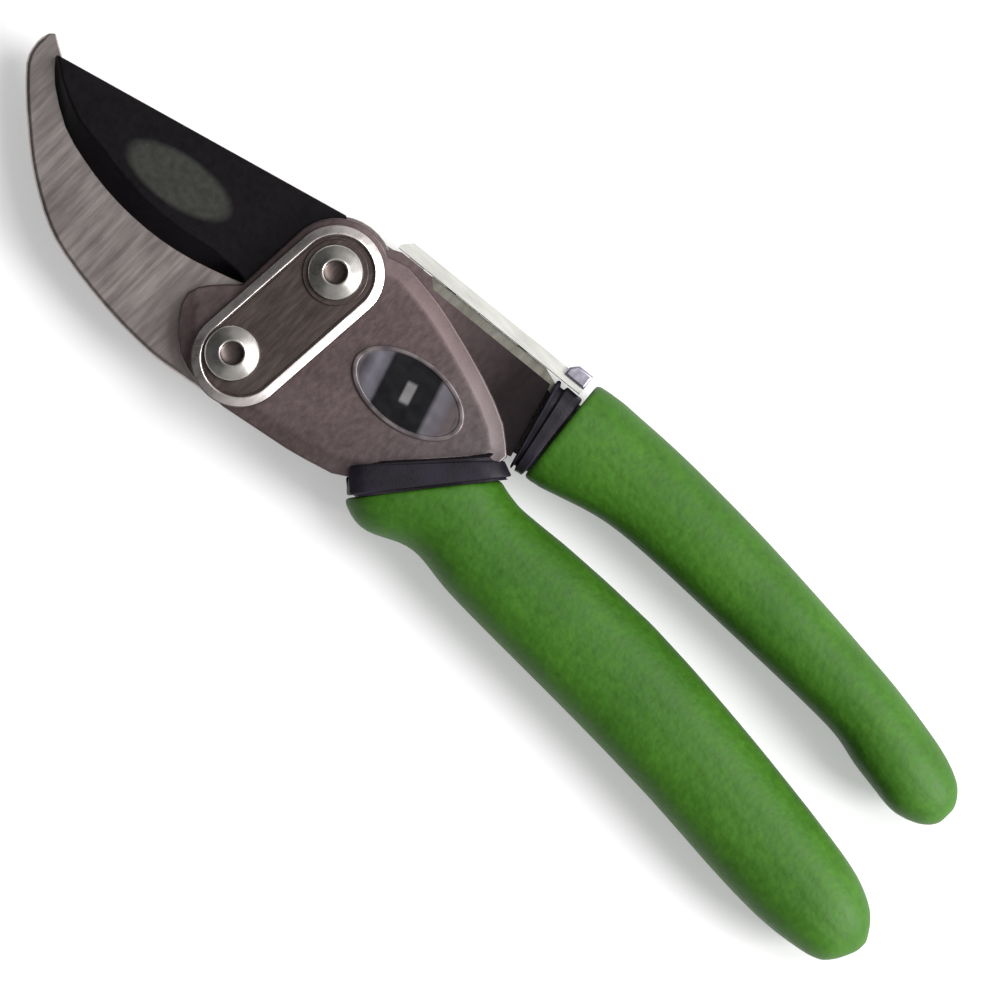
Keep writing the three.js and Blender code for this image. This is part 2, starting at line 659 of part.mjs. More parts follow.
function add(name, body, color, metalness = 0.8, roughness = 0.5) {
  const mesh = body.getMesh();
  const g = new THREE.BufferGeometry();
  g.setAttribute('position', new THREE.BufferAttribute(new Float32Array(mesh.vertProperties), 3));
  g.setIndex(new THREE.BufferAttribute(new Uint32Array(mesh.triVerts), 1));
  g.computeVertexNormals();
  const node = new THREE.Mesh(g, new THREE.MeshStandardMaterial({ color, metalness, roughness }));
  node.name = name;
  group.add(node);
}

add('front_frame', frontFrame(), 0x7f7172, 0.6, 0.45);
add('cutting_blade', cuttingBlade(), 0x1f1c20, 0.3, 0.4);
add('front_strap', frontStrap(), 0x6b6462, 0.8, 0.4);
add('front_washer', washer(FRONT_WASHER_R, Z_STRAP_TOP, Z_HEAD), 0x77716f, 0.8, 0.5);
add('pivot_bolt', headed([0, 0], HEAD_R, HEAD_H, Z_HEAD, BOLT_R, 1.4), 0x8f8c88, 0.9, 0.3);
add('blade_rivet', headed(RIVET_AT, HEAD_R, HEAD_H, Z_STRAP_TOP, RIVET_R, Z_BLADE), 0x8f8c88, 0.9, 0.3);
add('badge_plate', badge(), 0x2e2f33, 0.6, 0.4);
add('rear_washer', washer(REAR_WASHER_R, Z_WASHER, Z_REAR - RUN), 0x8f8c88, 0.9, 0.4);
add('pivot_nut', pivotNut(), 0x8f8c88, 0.9, 0.4);
add('lower_collar', lowerCollar(), 0x2c2430, 0, 0.6);
add('lower_grip', lowerGrip(), 0x4b7d33, 0, 0.6);
add('lower_spring_seat', seat(LOW_SEAT_Y, 1, beyondLowerFlange()), 0x8f8c88, 0.9, 0.4);
add('return_spring', returnSpring(), 0x9a9aa0, 0.9, 0.3);

add('rear_frame', rearFrame(), 0x77706e, 0.6, 0.45);
add('counter_blade', counterBlade(), 0x8f8a88, 0.9, 0.4);
add('pivot_bush', rod([0, 0], BUSH_R, Z_REAR, Z_HOOK_TOP).subtract(rod([0, 0], BOLT_R + FIT, 0, 40)),
  0xb08d57, 0.8, 0.4);
add('hook_rivet_upper', hookRivet(HOOK_RIVETS[0]), 0x8f8c88, 0.9, 0.4);
add('hook_rivet_lower', hookRivet(HOOK_RIVETS[1]), 0x8f8c88, 0.9, 0.4);
add('upper_spring_seat', seat(TOP_SEAT_Y, -1, beyondUpperFlange()), 0x8f8c88, 0.9, 0.4);
add('latch_stud_front', latchStud(LATCH_STUDS[0]), 0x8f8c88, 0.9, 0.4);
add('latch_stud_rear', latchStud(LATCH_STUDS[1]), 0x8f8c88, 0.9, 0.4);
add('upper_collar', upperCollar(), 0x2c2430, 0, 0.6);
add('upper_grip', upperGrip(), 0x4b7d33, 0, 0.6);

add('latch_bar', latchBar(), 0xe4e4de, 0.8, 0.3);
add('latch_thumb_tab', thumbTab(), 0xa9a5b2, 0.7, 0.4);

export default group;
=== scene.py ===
"""Bypass pruning shears: the visible pieces and their finishes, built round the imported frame."""
import json
import math

import bmesh
import bpy
from mathutils import Matrix, Vector
from mathutils.bvhtree import BVHTree

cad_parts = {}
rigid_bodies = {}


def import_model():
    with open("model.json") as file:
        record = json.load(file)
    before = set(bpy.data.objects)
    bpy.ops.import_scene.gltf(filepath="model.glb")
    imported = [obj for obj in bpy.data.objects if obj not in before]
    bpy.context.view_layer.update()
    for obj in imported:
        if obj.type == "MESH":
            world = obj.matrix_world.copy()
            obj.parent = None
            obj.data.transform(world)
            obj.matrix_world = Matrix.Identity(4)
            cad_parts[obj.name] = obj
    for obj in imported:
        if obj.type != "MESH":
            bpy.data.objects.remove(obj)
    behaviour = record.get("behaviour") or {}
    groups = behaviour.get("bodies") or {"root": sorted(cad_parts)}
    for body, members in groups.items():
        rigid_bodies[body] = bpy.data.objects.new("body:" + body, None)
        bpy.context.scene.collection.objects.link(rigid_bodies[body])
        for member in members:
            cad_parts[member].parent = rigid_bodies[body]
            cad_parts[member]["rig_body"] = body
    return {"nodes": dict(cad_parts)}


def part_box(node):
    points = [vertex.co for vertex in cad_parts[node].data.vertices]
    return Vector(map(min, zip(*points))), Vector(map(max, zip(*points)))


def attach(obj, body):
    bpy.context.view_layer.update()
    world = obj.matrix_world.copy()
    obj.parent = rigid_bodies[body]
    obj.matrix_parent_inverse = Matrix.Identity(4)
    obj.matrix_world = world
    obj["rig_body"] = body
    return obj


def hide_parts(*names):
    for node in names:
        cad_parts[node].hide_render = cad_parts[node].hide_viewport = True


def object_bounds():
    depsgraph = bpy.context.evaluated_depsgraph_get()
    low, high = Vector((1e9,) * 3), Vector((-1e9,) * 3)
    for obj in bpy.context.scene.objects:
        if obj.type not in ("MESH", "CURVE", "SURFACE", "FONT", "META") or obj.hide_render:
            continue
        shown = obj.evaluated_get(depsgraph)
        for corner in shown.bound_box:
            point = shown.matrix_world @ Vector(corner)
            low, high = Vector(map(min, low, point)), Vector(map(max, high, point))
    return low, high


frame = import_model()
cad_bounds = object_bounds()

MM = 0.001
UP = Vector((0, 0, 1))
SHARP = math.radians(32)  # edges sharper than this stay crisp


# ---------- finishes ----------

def linear(colour):
    """A colour such as #4b7d33 as linear red, green, blue and alpha."""
    parts = [int(colour[i:i + 2], 16) / 255 for i in (1, 3, 5)]
    return [c / 12.92 if c <= 0.04045 else ((c + 0.055) / 1.055) ** 2.4 for c in parts] + [1]


def grain(size):
    """The scale that gives a pattern features of this size in millimetres."""
    return 1 / (size * MM)


def add(tree, kind, inputs=None, stops=None, **settings):
    """Adds a shader node, with its settings, its ramp stops and its filled or linked sockets."""
    node = tree.nodes.new("ShaderNode" + kind)
    for key, value in settings.items():
        setattr(node, key, value)
    for key, value in (inputs or {}).items():
        socket = node.inputs[key]
        if isinstance(value, bpy.types.NodeSocket):
            tree.links.new(value, socket)
        else:
            socket.default_value = value
    if stops:
        while len(node.color_ramp.elements) < len(stops):
            node.color_ramp.elements.new(0.5)
        for element, (position, colour) in zip(node.color_ramp.elements, stops):
            element.position = position
            element.color = linear(colour) if isinstance(colour, str) else [colour] * 3 + [1]
    return node


def begin(name, metallic=0.0, roughness=0.5):
    """A new material, with its tree, its shader and the place on the object in metres."""
    material = bpy.data.materials.new(name)
    material.use_nodes = True
    tree = material.node_tree
    shader = tree.nodes["Principled BSDF"]
    shader.inputs["Metallic"].default_value = metallic
    shader.inputs["Roughness"].default_value = roughness
    return material, tree, shader, add(tree, "TexCoord").outputs["Object"]


def cloud(tree, place, size, detail=3, stretch=(1, 1, 1), turn=0, roughness=0.5):
    """Soft noise with features of this size in millimetres, stretched along the turned axes."""
    mapped = add(tree, "Mapping", {"Vector": place, "Rotation": (0, 0, turn), "Scale": stretch})
    inputs = {
        "Vector": mapped.outputs["Vector"], "Scale": grain(size), "Detail": detail,
        "Roughness": roughness,
    }
    return add(tree, "TexNoise", inputs).outputs["Fac"]


def relief(tree, shader, *layers):
    """Raises the surface by patterns, each given with its height in millimetres."""
    normal = None
    for height, depth in layers:
        inputs = {"Height": height, "Distance": depth * MM, "Strength": 1.0}
        if normal is not None:
            inputs["Normal"] = normal
        normal = add(tree, "Bump", inputs).outputs["Normal"]
    tree.links.new(normal, shader.inputs["Normal"])


def spread(tree, value, low, high, from_low=0.3, from_high=0.7):
    """A pattern's value spread over a range, such as a roughness from low to high."""
    inputs = {"Value": value, "From Min": from_low, "From Max": from_high, "To Min": low, "To Max": high}
    return add(tree, "MapRange", inputs).outputs["Result"]


def mixed(tree, factor, first, second, how="MIX"):
    """Two colours mixed by a factor."""
    node = add(tree, "Mix", {0: factor, 6: first, 7: second}, data_type="RGBA", blend_type=how)
    return node.outputs[2]


def oval(tree, place, centre, half_sizes, tilt):
    """The distance from an oval's centre, 1 on its rim, and the place along and across it."""
    centred = add(tree, "VectorMath", {0: place, 1: [-c for c in centre]}, operation="ADD")
    inputs = {"Vector": centred.outputs[0], "Axis": (0, 0, 1), "Angle": -tilt}
    turned = add(tree, "VectorRotate", inputs, rotation_type="AXIS_ANGLE").outputs["Vector"]
    scale = (1 / half_sizes[0], 1 / half_sizes[1], 0)
    scaled = add(tree, "VectorMath", {0: turned, 1: scale}, operation="MULTIPLY").outputs[0]
    distance = add(tree, "VectorMath", {0: scaled}, operation="LENGTH").outputs["Value"]
    return distance, add(tree, "SeparateXYZ", {"Vector": scaled})


def soft_vinyl():
    """Dipped soft vinyl (PVC): matte, with a fine leathery grain and slightly uneven colour."""
    material, tree, shader, place = begin("soft_green_vinyl")
    shader.inputs["Specular IOR Level"].default_value = 0.30
    fleck = cloud(tree, place, 1.6, 4, roughness=0.62)
    drift = cloud(tree, place, 16, 2)
    stops = [(0.30, "#2f5a0c"), (0.50, "#34620f"), (0.70, "#3a6a12")]
    flecked = add(tree, "ValToRGB", {"Fac": fleck}, stops).outputs["Color"]
    stops = [(0.35, "#dfe6d8"), (0.65, "#ffffff")]
    uneven = add(tree, "ValToRGB", {"Fac": drift}, stops).outputs["Color"]
    tree.links.new(mixed(tree, 1.0, flecked, uneven, "MULTIPLY"), shader.inputs["Base Color"])
    tree.links.new(spread(tree, fleck, 0.50, 0.64), shader.inputs["Roughness"])
    # Real leather grain is about 0.6 mm; the cells are drawn at 1.1 mm so that they show.
    inputs = {"Vector": place, "Scale": grain(1.1), "Smoothness": 0.6}
    cells = add(tree, "TexVoronoi", inputs, feature="SMOOTH_F1").outputs["Distance"]
    relief(tree, shader, (cells, 0.06), (cloud(tree, place, 0.5, 2), 0.03))
    return material


def black_coating():
    """Baked fluoropolymer over ground steel: near black, slightly soft sheen, faint orange peel."""
    material, tree, shader, place = begin("black_fluoropolymer", 0.0, 0.40)
    shader.inputs["IOR"].default_value = 1.35
    shader.inputs["Specular IOR Level"].default_value = 0.25
    low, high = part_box("cutting_blade")
    centre = (low.x + 0.447 * (high.x - low.x), high.y - 16.2 * MM, 0)
    distance, _ = oval(tree, place, centre, (10.4 * MM, 4.3 * MM), math.radians(10))
    patch = cloud(tree, place, 9, 3)
    stops = [(0.3, "#080508"), (0.7, "#110c11")]
    coat = add(tree, "ValToRGB", {"Fac": patch}, stops).outputs["Color"]
    # A plain printed oval, its rim a little soft.
    inside = spread(tree, distance, 1, 0, 0.86, 1.06)
    speck = cloud(tree, place, 1.2, 3)
    stops = [(0.30, "#2d2e2b"), (0.70, "#373834")]
    ink = add(tree, "ValToRGB", {"Fac": speck}, stops).outputs["Color"]
    tree.links.new(mixed(tree, inside, coat, ink), shader.inputs["Base Color"])
    tree.links.new(spread(tree, speck, 0.34, 0.50), shader.inputs["Roughness"])
    relief(tree, shader, (cloud(tree, place, 0.7, 2), 0.02))
    return material


def steel(name, dark, light, roughness, stretch, turn, marks=0.6, depth=0.02, metallic=1.0,
          patch=7.0, fade=None):
    """Steel worked in one direction: fine marks along it, and slow changes of tone. A fade is a
    colour that the finish turns to along X, between two places in millimetres."""
    material, tree, shader, place = begin(name, metallic, roughness)
    lines = cloud(tree, place, marks, 4, stretch, turn, 0.65)
    tone = cloud(tree, place, patch, 3)
    blend = add(tree, "Math", {0: lines, 1: tone}, operation="ADD").outputs[0]
    inputs = {"Value": blend, "From Min": 0.7, "From Max": 1.3}
    stops = [(0.0, dark), (1.0, light)]
    even = add(tree, "MapRange", inputs).outputs["Result"]
    colour = add(tree, "ValToRGB", {"Fac": even}, stops).outputs["Color"]
    if fade:
        to_colour, start, end = fade
        along = add(tree, "SeparateXYZ", {"Vector": place}).outputs["X"]
        factor = spread(tree, along, 0, 1, start * MM, end * MM)
        faded = mixed(tree, 1.0, colour, linear(to_colour), "MULTIPLY")
        colour = mixed(tree, factor, colour, faded)
    tree.links.new(colour, shader.inputs["Base Color"])
    rough = spread(tree, lines, roughness - 0.07, roughness + 0.07)
    tree.links.new(rough, shader.inputs["Roughness"])
    relief(tree, shader, (lines, depth))
    return material


def turned_steel(name, node, dark, light, roughness):
    """Turned steel: concentric tool marks 0.3 mm apart round the piece's own axis, which glint."""
    material, tree, shader, place = begin(name, 1.0, roughness)
    low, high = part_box(node)
    centre = [(low.x + high.x) / 2, (low.y + high.y) / 2, 0]
    centred = add(tree, "VectorMath", {0: place, 1: centre}, operation="SUBTRACT").outputs[0]
    inputs = {"Vector": centred, "Scale": grain(0.3) / 20, "Distortion": 0.3}
    settings = {"wave_type": "RINGS", "rings_direction": "Z"}
    rings = add(tree, "TexWave", inputs, **settings).outputs["Fac"]
    tone = cloud(tree, place, 3, 3)
    colour = add(tree, "ValToRGB", {"Fac": tone}, [(0.3, dark), (0.7, light)]).outputs["Color"]
    tree.links.new(colour, shader.inputs["Base Color"])
    tree.links.new(spread(tree, tone, roughness - 0.05, roughness + 0.08), shader.inputs["Roughness"])
    relief(tree, shader, (rings, 0.006))
    return material


def moulded_plastic():
    """Moulded black nylon: matte, spark-eroded grain, a violet cast where it catches the light."""
    material, tree, shader, place = begin("black_moulded_nylon")
    shader.inputs["Specular IOR Level"].default_value = 0.25
    tone = cloud(tree, place, 4, 4)
    stops = [(0.35, "#100c13"), (0.65, "#1c1622")]
    tree.links.new(add(tree, "ValToRGB", {"Fac": tone}, stops).outputs["Color"],
                   shader.inputs["Base Color"])
    fine = cloud(tree, place, 0.4, 2)
    tree.links.new(spread(tree, fine, 0.46, 0.62), shader.inputs["Roughness"])
    relief(tree, shader, (fine, 0.03))
    return material


def badge_enamel():
    """A stamped plate: a dull rim and grey bands, with glossy black enamel between them."""
    material, tree, shader, place = begin("badge_plate_enamel", 0.55, 0.35)
    low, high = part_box("badge_plate")
    centre = (low + high) / 2
    centre.z = 0
    distance, _ = oval(tree, place, centre, BADGE_HALF, BADGE_TILT)
    _, along = oval(tree, place, centre, BADGE_HALF, 2 * BADGE_TILT)
    bands = [
        (0.00, "#625e66"), (0.09, "#454148"), (0.17, "#716d76"), (0.25, "#5d5962"), (0.28, "#0d0c10"),
        (0.69, "#0f0e12"), (0.73, "#6b676e"), (0.82, "#625d64"), (0.86, "#5a5052"), (0.91, "#5a5052"),
        (0.95, "#1d1a1e"),
    ]
    spot = spread(tree, along.outputs["X"], 0, 1, -1, 1)
    banded = add(tree, "ValToRGB", {"Fac": spot}, bands).outputs["Color"]
    # One short pale bar stands in the middle of the black field.
    across = add(tree, "Math", {0: along.outputs["X"]}, operation="ABSOLUTE").outputs[0]
    length = add(tree, "Math", {0: along.outputs["Y"]}, operation="ABSOLUTE").outputs[0]
    bar = add(tree, "Math", {
        0: spread(tree, across, 1, 0, 0.06, 0.10), 1: spread(tree, length, 1, 0, 0.24, 0.34),
    }, operation="MULTIPLY").outputs[0]
    field = mixed(tree, bar, banded, linear("#7e7c7d"))
    rim = spread(tree, distance, 0, 1, 0.86, 0.92)
    speck = cloud(tree, place, 2.4, 1)
    silver = add(tree, "ValToRGB", {"Fac": speck}, [(0.3, "#5a5153"), (0.7, "#776e70")]).outputs["Color"]
    tree.links.new(mixed(tree, rim, field, silver), shader.inputs["Base Color"])
    tree.links.new(spread(tree, speck, 0.26, 0.44), shader.inputs["Roughness"])
    relief(tree, shader, (speck, 0.006))
    return material


def studio_white():
    """A plain matte pale floor, lit a little from within so that shadows stay light."""
    material, _, shader, _ = begin("white_sweep", 0.0, 0.9)
    shader.inputs["Base Color"].default_value = linear("#cbcbcb")
    shader.inputs["Specular IOR Level"].default_value = 0.0
    shader.inputs["Emission Color"].default_value = linear("#ffffff")
    shader.inputs["Emission Strength"].default_value = FLOOR_GLOW
    return material


# ---------- shaping ----------

def cad_shape(node):
    """A CAD node's shape with its loose triangles joined and its flats made whole."""
    bm = bmesh.new()
    bm.from_mesh(frame["nodes"][node].data)
    bmesh.ops.remove_doubles(bm, verts=bm.verts, dist=0.002 * MM)
    bmesh.ops.dissolve_limit(bm, angle_limit=math.radians(1), verts=bm.verts, edges=bm.edges)
    bm.normal_update()
    return bm


def ease(bm, width, segments=3, keep=lambda edge: True, clamp=True):
    """Rounds the sharp edges that keep() accepts, by a width in millimetres."""
    edges = [
        e for e in bm.edges
        if len(e.link_faces) == 2 and e.calc_face_angle(0) > SHARP and keep(e)
    ]
    bmesh.ops.bevel(
        bm, geom=edges, affect="EDGES", offset=width * MM, offset_type="OFFSET",
        segments=segments, profile=0.5, material=-1, clamp_overlap=clamp)
    bm.normal_update()


def on_top(edge, height):
    """Whether an edge lies on the flat at a height."""
    return all(v.co.z > height - 0.05 * MM for v in edge.verts)


def finish_piece(name, bm, nodes, slot, *materials):
    """Makes a bmesh a piece that rides on its nodes' body and stands for them."""
    bmesh.ops.recalc_face_normals(bm, faces=bm.faces)
    mesh = bpy.data.meshes.new(name)
    bm.to_mesh(mesh)
    bm.free()
    for material in materials:
        mesh.materials.append(material)
    mesh.shade_smooth()
    mesh.set_sharp_from_angle(angle=SHARP)
    piece = bpy.data.objects.new(name, mesh)
    bpy.context.scene.collection.objects.link(piece)
    body = frame["nodes"][nodes[0]]["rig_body"]
    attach(piece, body)
    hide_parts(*nodes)
    return piece


def even_shading(piece):
    """Keeps a piece's flats flat beside its rounded edges."""
    piece.modifiers.new("even_shading", "WEIGHTED_NORMAL").keep_sharp = True


def eased(name, node, width, slot, material):
    """A hard piece: its CAD shape with every sharp edge rounded a little."""
    bm = cad_shape(node)
    ease(bm, width)
    piece = finish_piece(name, bm, [node], slot, material)
    even_shading(piece)
    return piece


def solid_tree(node):
    """A CAD node's surface, to find where a line meets it."""
    bm = bmesh.new()
    bm.from_mesh(frame["nodes"][node].data)
    tree = BVHTree.FromBMesh(bm)
    bm.free()
    return tree


FAR = 400 * MM


def surface(tree, centre, direction):
    """Where a line from far outside, through a centre, first meets a surface."""
    hit = tree.ray_cast(centre + direction * FAR / 2, -direction, FAR)[0]
    return hit if hit is not None else centre


def mouth_corners(node, side):
    """The X of the upper and lower corners of a sleeve's flat mouth, on the side it faces."""
    bm = cad_shape(node)
    flats = [f for f in bm.faces if f.normal.x * side > 0.3 and abs(f.normal.z) < 0.02]
    widest = max(flats, key=lambda f: f.calc_area())
    flat = [f for f in flats if f.normal.dot(widest.normal) > 0.9999]
    points = [v.co.copy() for f in flat for v in f.verts]
    bm.free()
    return max(points, key=lambda p: p.y).x, min(points, key=lambda p: p.y).x


def sleeve(node, rings, around=48):
    """A sleeve drawn over a CAD node. Each ring is its X at the upper edge, its X at the lower
    edge, how deep it lies under the surface and how far it is pushed out along X, in millimetres."""
    low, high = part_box(node)
    middle = (low + high) / 2
    tree = solid_tree(node)
    bm = bmesh.new()
    loops = []
    for x_upper, x_lower, depth, push in rings:
        upper = surface(tree, Vector((x_upper, middle.y, middle.z)), Vector((0, 1, 0)))
        lower = surface(tree, Vector((x_lower, middle.y, middle.z)), Vector((0, -1, 0)))
        across = (upper - lower).normalized()
        loop = bmesh.ops.create_circle(bm, segments=around, radius=MM)["verts"]
        for k, vert in enumerate(loop):
            angle = 2 * math.pi * k / around
            direction = across * math.cos(angle) + UP * math.sin(angle)
            vert.co = surface(tree, (upper + lower) / 2, direction) - direction * depth * MM
            vert.co.x += push * MM
        loops.append(list(dict.fromkeys(e for v in loop for e in v.link_edges)))
    for first, second in zip(loops, loops[1:]):
        bmesh.ops.bridge_loops(bm, edges=first + second)
    for loop in (loops[0], loops[-1]):
        cap = bmesh.ops.contextual_create(bm, geom=loop)["faces"]
        bmesh.ops.inset_individual(bm, faces=cap, thickness=0.6 * MM, use_even_offset=True)
        bmesh.ops.poke(bm, faces=cap)
    return bm


def terrace(bm, face, steps):
    """Carries a face up in steps, each an inset and a rise in millimetres."""
    for inset, rise in steps:
        bmesh.ops.inset_individual(
            bm, faces=[face], thickness=inset * MM, depth=rise * MM, use_even_offset=True)


def rounded(radius, steps=4):
    """The insets and rises of a rounded shoulder of a radius in millimetres."""
    angles = [math.pi / 2 * k / steps for k in range(steps + 1)]
    return [
        (radius * (math.cos(a) - math.cos(b)), radius * (math.sin(b) - math.sin(a)))
        for a, b in zip(angles, angles[1:])
    ]


def hollowed(radius):
    """The insets and drops of a rounded edge that falls into a recess."""
    return [(inset, -rise) for rise, inset in rounded(radius)]


def upright(bm, verts, height):
    """Stands a face's walls up from its outline, and gives the face on top."""
    faces = bm.faces[:] or bmesh.ops.contextual_create(bm, geom=verts)["faces"]
    bm.normal_update()
    if faces[0].normal.z < 0:
        bmesh.ops.reverse_faces(bm, faces=faces)
    raised = bmesh.ops.extrude_face_region(bm, geom=faces, use_keep_orig=True)["geom"]
    top = next(f for f in raised if isinstance(f, bmesh.types.BMFace))
    bmesh.ops.translate(bm, verts=top.verts, vec=(0, 0, height))
    bm.normal_update()
    return top


def spun(profile, centre, steps=64):
    """A turned piece. Profile points are a radius and a height, in metres, from axis to axis."""
    bm = bmesh.new()
    verts = [bm.verts.new((centre.x + r, centre.y, z)) for r, z in profile]
    edges = [bm.edges.new(pair) for pair in zip(verts, verts[1:])]
    bmesh.ops.spin(
        bm, geom=verts + edges, cent=(centre.x, centre.y, 0), axis=UP, dvec=(0, 0, 0),
        angle=2 * math.pi, steps=steps, use_merge=True, use_duplicate=False)
    bmesh.ops.remove_doubles(bm, verts=bm.verts, dist=0.004 * MM)
    return bm


# ---------- camera, light and floor ----------

FLOOR_GLOW = 0.36
VIEW_WIDTH = 166.8 * MM
ASPECT = 1000 / 992
CAMERA_HEIGHT = 1.5  # over the tool, in metres
SENSOR = 36
AIM_ALONG = 0.530  # how far along the tool the camera looks, from tip to handles
AIM_BELOW = 1.9 * MM  # and how far to the lower handle's side of its middle


def set_camera():
    """Looks straight down, with the tool lying from the upper left to the lower right."""
    low, high = cad_bounds
    along = AIM_ALONG * high[0] + (1 - AIM_ALONG) * low[0]
    aim = Vector((along, 0.5 * (low[1] + high[1]) - AIM_BELOW, 0))
    data = bpy.data.cameras.new("camera")
    data.sensor_width = SENSOR
    data.lens = SENSOR * CAMERA_HEIGHT / (VIEW_WIDTH * ASPECT)
    camera = bpy.data.objects.new("camera", data)
    bpy.context.scene.collection.objects.link(camera)
    camera.location = aim + UP * (CAMERA_HEIGHT + high[2])
    camera.rotation_euler = (0, 0, math.radians(45))
    bpy.context.scene.camera = camera
    return aim


def area_light(name, aim, direction, distance, size, power):
    """A soft square light that faces the tool."""
    data = bpy.data.lights.new(name, "AREA")
    data.shape = "SQUARE"
    data.size = size
    data.energy = power
    light = bpy.data.objects.new(name, data)
    bpy.context.scene.collection.objects.link(light)
    light.location = aim + Vector(direction).normalized() * distance
    light.rotation_euler = (-Vector(direction)).to_track_quat("-Z", "Y").to_euler()


def set_studio(aim):
    """A pale floor, a soft key low beyond the handles, a larger light high over the upper handle,
    and a sky that is bright on the same side, so that every raised rim has a lit and a dark flank."""
    bm = bmesh.new()
    corners = bmesh.ops.create_grid(bm, x_segments=1, y_segments=1, size=3.0)["verts"]
    bmesh.ops.translate(bm, verts=corners, vec=(0, 0, -0.1 * MM))
    mesh = bpy.data.meshes.new("floor")
    bm.to_mesh(mesh)
    bm.free()
    mesh.materials.append(studio_white())
    floor = bpy.data.objects.new("floor", mesh)
    bpy.context.scene.collection.objects.link(floor)
    area_light("key", aim, (0.80, 0.30, 0.55), 0.9, 0.30, 8)
    area_light("edge", aim, (0.30, 0.55, 0.90), 1.1, 0.60, 9)
    world = bpy.data.worlds.new("studio")
    world.use_nodes = True
    tree = world.node_tree
    sky = add(tree, "TexCoord").outputs["Generated"]
    aside = add(tree, "VectorMath", {0: sky, 1: (0.83, 0.50, -0.20)}, operation="DOT_PRODUCT")
    facing = spread(tree, aside.outputs["Value"], 0, 1, -1, 1)
    stops = [(0.0, 0.05), (0.28, 0.16), (0.40, 0.39), (0.50, 0.43), (0.76, 0.70), (0.88, 1.50)]
    glow = add(tree, "ValToRGB", {"Fac": facing}, stops).outputs["Color"]
    tree.links.new(glow, tree.nodes["Background"].inputs["Color"])
    bpy.context.scene.world = world
    bpy.context.scene.view_settings.view_transform = "Standard"


# ---------- blade lever ----------

PLATE_T = 1.8 * MM  # the front frame's plate
WING_T = 0.8 * MM  # its lower wing
PLATE_DISH = 0.50  # how far its border drops, in millimetres
PLATE_SHOULDER = 0.40  # the rounding at its edge, in millimetres
BADGE_HALF = (10.8 * MM, 6.3 * MM)
BADGE_TILT = math.radians(9)
DISH_SHARE = 0.43  # a head's dish, as a part of the head
DISH_DEPTH = 0.60
DISH_STEPS = 7
GRIP_TURN_RINGS = 12  # rings that swing from the slanted mouth to square
GRIP_RINGS = 40  # rings from there to the end, closer together towards it
COIL_TURNS = 10
COIL_STEPS = 24  # to a turn
WIRE_R = 0.5 * MM


def make_grip(name, node, fan, material):
    """A soft grip: a rolled lip at its slanted mouth, then rings that swing square to the tool
    over the fan, a length along X."""
    low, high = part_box(node)
    upper, lower = mouth_corners(node, -1)
    lip = [(0.05, 0.7), (0.20, 0.25), (0.6, 0.05), (1.4, 0.0)]
    rings = [(upper + x * MM, lower + x * MM, depth, 0) for x, depth in lip]
    start_upper, start_lower = rings[-1][:2]
    square = start_upper + fan
    for k in range(1, GRIP_TURN_RINGS + 1):
        t = k / GRIP_TURN_RINGS
        x_upper = start_upper + (square - start_upper) * t
        x_lower = start_lower + (square - start_lower) * t
        rings.append((x_upper, x_lower, 0, 0))
    end = high.x - 0.1 * MM
    for k in range(1, GRIP_RINGS + 1):
        x = square + (end - square) * math.sin(math.pi / 2 * k / GRIP_RINGS)
        rings.append((x, x, 0, 0))
    piece = finish_piece(name, sleeve(node, rings), [node], "grip_vinyl", material)
    smoothing = piece.modifiers.new("smoothing", "SUBSURF")
    smoothing.levels = 1
    smoothing.render_levels = 1
    return piece


def make_collar(name, node, material):
    """A moulded collar: a deep groove behind its front lip, a broad band, and a spigot at the back
    that goes into the grip."""
    near_upper, near_lower = mouth_corners(node, -1)
    far_upper, far_lower = mouth_corners(node, 1)
    # The share of its length, the depth under the surface and the push along X.
    profile = [
        (0.01, 0.6, 0), (0.03, 0.2, 0), (0.08, 0, 0), (0.14, 0, 0), (0.16, 0.15, 0),
        (0.20, 0.75, 0), (0.34, 0.75, 0), (0.38, 0.15, 0), (0.42, 0, 0), (0.70, 0.05, 0),
        (0.92, 0, 0), (0.97, 0.1, 0), (0.99, 0.3, 0), (0.99, 1.1, 0.1), (0.99, 1.1, 0.6),
    ]
    rings = []
    for t, depth, push in profile:
        x_upper = near_upper + (far_upper - near_upper) * t
        x_lower = near_lower + (far_lower - near_lower) * t
        rings.append((x_upper, x_lower, depth, push))
    return finish_piece(name, sleeve(node, rings, 64), [node], "collar_plastic", material)


def outline(bm, height):
    """The longest loop of corners round a shape's flat at a height, in order."""
    flat = [
        f for f in bm.faces
        if abs(f.normal.z) > 0.99 and abs(f.calc_center_median().z - height) < 0.02 * MM
    ]
    region = set(flat)
    edges = {e for f in flat for e in f.edges if sum(g in region for g in e.link_faces) == 1}
    loops = []
    bm.edges.index_update()
    while edges:
        edge = min(edges, key=lambda e: e.index)
        edges.discard(edge)
        loop = [edge.verts[0], edge.verts[1]]
        while loop[-1] is not loop[0]:
            step = next((e for e in loop[-1].link_edges if e in edges), None)
            if step is None:
                break
            edges.discard(step)
            loop.append(step.other_vert(loop[-1]))
        points = [v.co.copy() for v in loop[:-1]]
        loops.append([p for i, p in enumerate(points) if (p - points[i - 1]).length > 0.3 * MM])
    return max(loops, key=lambda loop: sum((a - b).length for a, b in zip(loop, loop[1:])))


def cut(bm, point, normal, close=True):
    """Takes away what lies on the normal's side of a plane, and closes the cut."""
    geom = list(bm.verts) + list(bm.edges) + list(bm.faces)
    bmesh.ops.bisect_plane(
        bm, geom=geom, dist=0.001 * MM, plane_co=point, plane_no=normal, clear_outer=True)
    if close:
        bmesh.ops.holes_fill(bm, edges=[e for e in bm.edges if e.is_boundary])


